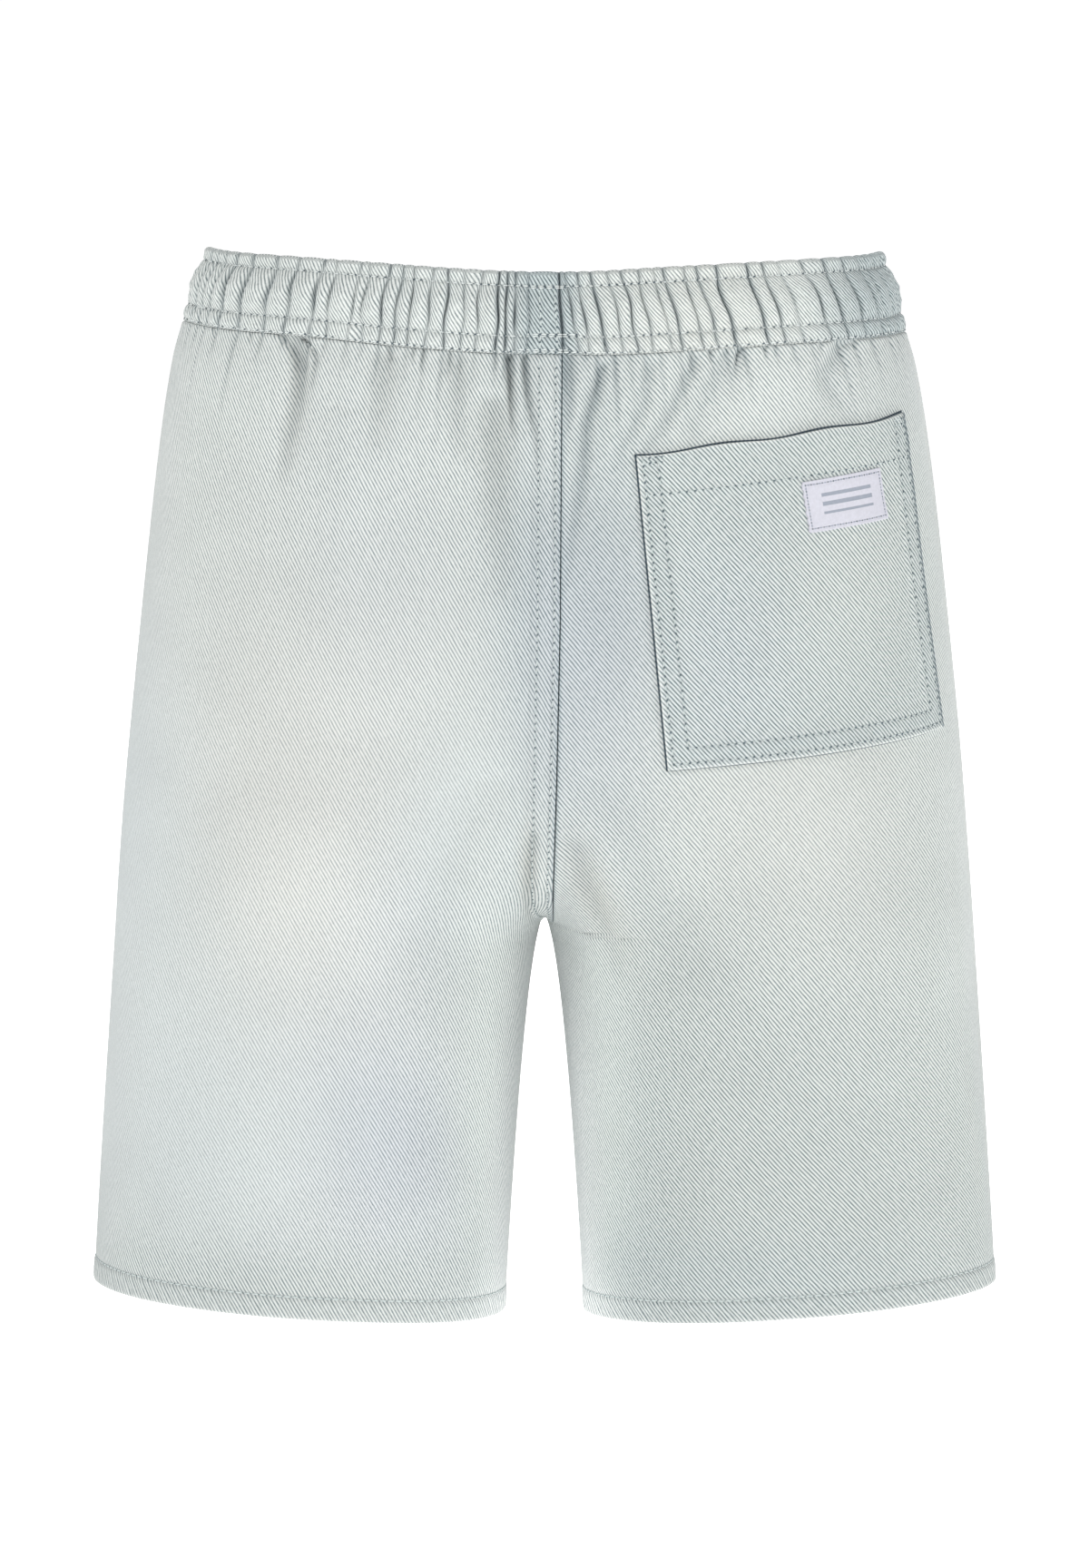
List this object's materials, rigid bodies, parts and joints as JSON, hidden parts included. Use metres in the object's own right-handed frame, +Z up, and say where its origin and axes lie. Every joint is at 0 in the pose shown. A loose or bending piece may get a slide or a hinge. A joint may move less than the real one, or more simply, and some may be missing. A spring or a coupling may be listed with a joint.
{
  "type": "denim shorts",
  "caption": "Knee-length pull-on denim shorts, worn form: gathered elastic waistband, back patch pocket with a sewn label, and stitched hems.",
  "frame": {"origin": "middle of the waist opening, level with the waistband's top edge at the sides", "axes": "+Z up through the waist opening, -Y out of the back of the garment, +X to the wearer's right"},
  "size_m": [0.359, 0.1775, 0.4226],
  "materials": {
    "body_denim": "bleached twill, matte",
    "band_denim": "bleached twill, gathered, matte",
    "pocket_denim": "bleached twill, matte",
    "label_tape": "plain woven tape, slight sheen"
  },
  "bodies": {
    "root": {"waistband": "band_denim", "back_panel_right": "body_denim", "back_panel_left": "body_denim", "front_panel_right": "body_denim", "front_panel_left": "body_denim", "back_pocket": "pocket_denim", "pocket_label": "label_tape"}
  },
  "joints": []
}
